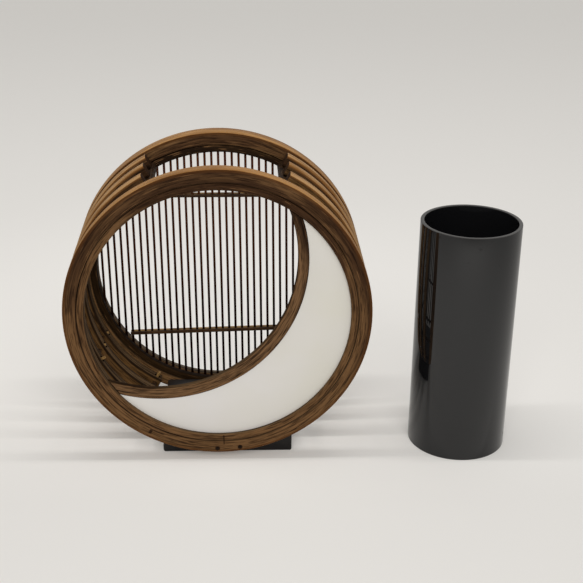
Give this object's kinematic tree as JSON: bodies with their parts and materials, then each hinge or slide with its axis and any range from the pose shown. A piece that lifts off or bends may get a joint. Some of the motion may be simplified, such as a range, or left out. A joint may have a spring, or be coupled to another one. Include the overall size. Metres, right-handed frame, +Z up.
{
  "type": "flower vase",
  "caption": "Ring-shaped bamboo flower vase: two bent rings joined by open hoops, a rod screen behind, a crescent panel in front, and a loose round water tube.",
  "frame": {"origin": "on the underside of the base block at table level, under the axis of the rings and half way through the depth of the vase", "axes": "+X to the right seen from the front, towards the loose water tube; +Y to the back, from the crescent panel towards the rod screen; +Z up"},
  "size_m": [0.3589, 0.1217, 0.2462],
  "materials": {
    "hoop_bamboo": "golden brown smoked bamboo skin, satin",
    "dark_bamboo": "dark stained split bamboo with fine fibre streaks, satin",
    "screen_bamboo": "dark red-brown lacquered bamboo rods",
    "peg_bamboo": "bare pale bamboo, cut ends",
    "block_lacquer": "black lacquered wood, satin",
    "panel_white": "off-white matt board",
    "tube_acrylic": "black glossy acrylic pipe"
  },
  "bodies": {
    "vase": {"back_ring_inner_front": "dark_bamboo", "back_ring_inner_rear": "dark_bamboo", "back_ring_outer": "dark_bamboo", "back_ring_peg_1": "dark_bamboo", "back_ring_peg_2": "dark_bamboo", "base_block": "block_lacquer", "crescent_panel": "panel_white", "crescent_strip": "dark_bamboo", "front_ring_inner": "dark_bamboo", "front_ring_outer": "dark_bamboo", "front_ring_peg_1": "dark_bamboo", "front_ring_peg_2": "dark_bamboo", "left_hoop_1": "hoop_bamboo", "left_hoop_2": "hoop_bamboo", "left_hoop_3": "hoop_bamboo", "left_lower_dowel": "dark_bamboo", "left_lower_peg_1": "peg_bamboo", "left_lower_peg_2": "peg_bamboo", "left_lower_peg_3": "peg_bamboo", "left_side_dowel": "dark_bamboo", "left_side_peg_1": "peg_bamboo", "left_side_peg_2": "peg_bamboo", "left_side_peg_3": "peg_bamboo", "left_top_bar": "dark_bamboo", "lower_rear_crossbar": "dark_bamboo", "right_hoop_1": "hoop_bamboo", "right_hoop_2": "hoop_bamboo", "right_hoop_3": "hoop_bamboo", "right_lower_dowel": "dark_bamboo", "right_lower_peg_1": "peg_bamboo", "right_lower_peg_2": "peg_bamboo", "right_lower_peg_3": "peg_bamboo", "right_side_dowel": "dark_bamboo", "right_side_peg_1": "peg_bamboo", "right_side_peg_2": "peg_bamboo", "right_side_peg_3": "peg_bamboo", "right_top_bar": "dark_bamboo", "rod_screen": "screen_bamboo", "side_rod_1": "screen_bamboo", "side_rod_2": "screen_bamboo", "side_rod_3": "screen_bamboo", "side_rod_4": "screen_bamboo", "side_rod_5": "screen_bamboo", "side_rod_6": "screen_bamboo", "side_rod_7": "screen_bamboo", "side_rod_8": "screen_bamboo", "upper_rear_crossbar": "dark_bamboo"},
    "water_tube": {"water_tube": "tube_acrylic", "water_tube_bottom": "tube_acrylic"}
  },
  "joints": [
    {"name": "tube_lift", "type": "slide", "parent": "vase", "child": "water_tube", "axis": [0, 0, 1], "range_m": [0, 0.25]}
  ]
}
